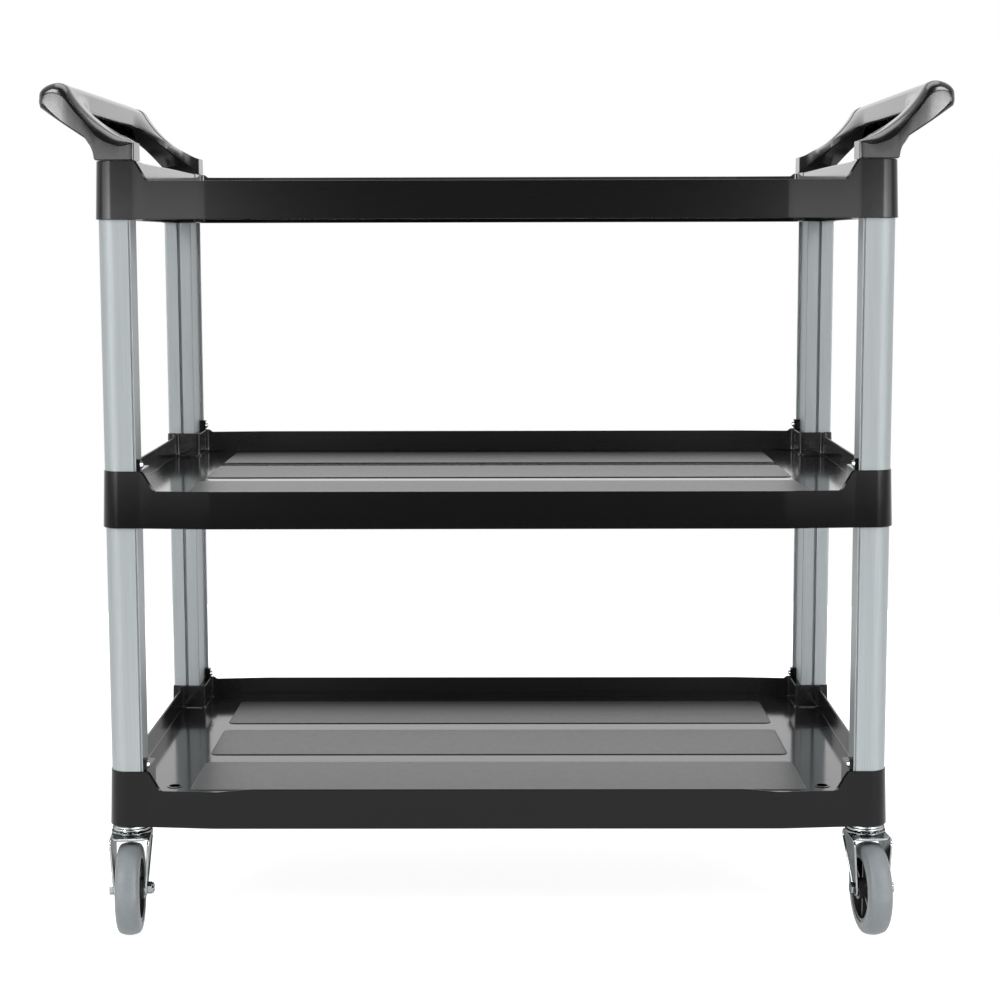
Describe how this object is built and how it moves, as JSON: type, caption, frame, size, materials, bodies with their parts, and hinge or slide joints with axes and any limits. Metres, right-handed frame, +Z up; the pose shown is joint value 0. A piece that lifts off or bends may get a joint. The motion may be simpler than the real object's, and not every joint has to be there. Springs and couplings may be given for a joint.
{
  "type": "food service trolley",
  "caption": "Wheeled serving trolley with moulded trays on aluminium posts, a push handle at each end and swivel casters.",
  "frame": {"origin": "centre of the trolley's footprint, on the floor under the wheels", "axes": "+X along the length towards the right-hand handle, +Y towards the back, whose tray walls are high, +Z up"},
  "size_m": [1.0032, 0.5916, 0.9572],
  "materials": {
    "shelf_plastic": "moulded black plastic, glossy tray floor with fine textured panels",
    "handle_plastic": "moulded black plastic, satin",
    "post_aluminium": "satin anodised extrusion with fine lengthwise lines",
    "zinc_steel": "bright zinc plate",
    "screw_steel": "plated screw steel",
    "bearing_steel": "polished balls",
    "socket_nylon": "moulded nylon",
    "bush_steel": "plain steel tube",
    "hub_plastic": "moulded black plastic",
    "grey_tyre": "light grey non-marking rubber, satin"
  },
  "bodies": {
    "frame": {"top_shelf": "shelf_plastic", "middle_shelf": "shelf_plastic", "bottom_shelf": "shelf_plastic", "upper_post_front_left": "post_aluminium", "upper_post_front_right": "post_aluminium", "upper_post_rear_left": "post_aluminium", "upper_post_rear_right": "post_aluminium", "lower_post_front_left": "post_aluminium", "lower_post_front_right": "post_aluminium", "lower_post_rear_left": "post_aluminium", "lower_post_rear_right": "post_aluminium", "handle_left": "handle_plastic", "handle_right": "handle_plastic", "handle_screws": "screw_steel", "middle_shelf_screws": "screw_steel", "upper_post_screws": "screw_steel", "lower_post_screws": "screw_steel", "caster_socket_front_left": "socket_nylon", "caster_socket_front_right": "socket_nylon", "caster_socket_rear_left": "socket_nylon", "caster_socket_rear_right": "socket_nylon", "stem_front_left": "zinc_steel", "stem_front_right": "zinc_steel", "stem_rear_left": "zinc_steel", "stem_rear_right": "zinc_steel", "top_race_front_left": "zinc_steel", "top_race_front_right": "zinc_steel", "top_race_rear_left": "zinc_steel", "top_race_rear_right": "zinc_steel"},
    "caster_front_left": {"fork_front_left": "zinc_steel", "ball_ring_front_left": "bearing_steel", "axle_bolt_front_left": "zinc_steel", "axle_nut_front_left": "zinc_steel", "axle_bush_front_left": "bush_steel"},
    "wheel_front_left": {"wheel_hub_front_left": "hub_plastic", "tyre_front_left": "grey_tyre"},
    "caster_front_right": {"fork_front_right": "zinc_steel", "ball_ring_front_right": "bearing_steel", "axle_bolt_front_right": "zinc_steel", "axle_nut_front_right": "zinc_steel", "axle_bush_front_right": "bush_steel"},
    "wheel_front_right": {"wheel_hub_front_right": "hub_plastic", "tyre_front_right": "grey_tyre"},
    "caster_rear_left": {"fork_rear_left": "zinc_steel", "ball_ring_rear_left": "bearing_steel", "axle_bolt_rear_left": "zinc_steel", "axle_nut_rear_left": "zinc_steel", "axle_bush_rear_left": "bush_steel"},
    "wheel_rear_left": {"wheel_hub_rear_left": "hub_plastic", "tyre_rear_left": "grey_tyre"},
    "caster_rear_right": {"fork_rear_right": "zinc_steel", "ball_ring_rear_right": "bearing_steel", "axle_bolt_rear_right": "zinc_steel", "axle_nut_rear_right": "zinc_steel", "axle_bush_rear_right": "bush_steel"},
    "wheel_rear_right": {"wheel_hub_rear_right": "hub_plastic", "tyre_rear_right": "grey_tyre"}
  },
  "joints": [
    {"name": "swivel_front_left", "type": "hinge", "parent": "frame", "child": "caster_front_left", "pos_m": [-0.421, -0.216, 0.109], "axis": [0, 0, 1], "continuous": true},
    {"name": "roll_front_left", "type": "hinge", "parent": "caster_front_left", "child": "wheel_front_left", "pos_m": [-0.41856, -0.24389, 0.052], "axis": [0.9962, 0.0872, 0], "continuous": true},
    {"name": "swivel_front_right", "type": "hinge", "parent": "frame", "child": "caster_front_right", "pos_m": [0.421, -0.216, 0.109], "axis": [0, 0, 1], "continuous": true},
    {"name": "roll_front_right", "type": "hinge", "parent": "caster_front_right", "child": "wheel_front_right", "pos_m": [0.42344, -0.24389, 0.052], "axis": [0.9962, 0.0872, 0], "continuous": true},
    {"name": "swivel_rear_left", "type": "hinge", "parent": "frame", "child": "caster_rear_left", "pos_m": [-0.421, 0.216, 0.109], "axis": [0, 0, 1], "continuous": true},
    {"name": "roll_rear_left", "type": "hinge", "parent": "caster_rear_left", "child": "wheel_rear_left", "pos_m": [-0.42344, 0.24389, 0.052], "axis": [0.9962, 0.0872, 0], "continuous": true},
    {"name": "swivel_rear_right", "type": "hinge", "parent": "frame", "child": "caster_rear_right", "pos_m": [0.421, 0.216, 0.109], "axis": [0, 0, 1], "continuous": true},
    {"name": "roll_rear_right", "type": "hinge", "parent": "caster_rear_right", "child": "wheel_rear_right", "pos_m": [0.41856, 0.24389, 0.052], "axis": [0.9962, 0.0872, 0], "continuous": true}
  ]
}
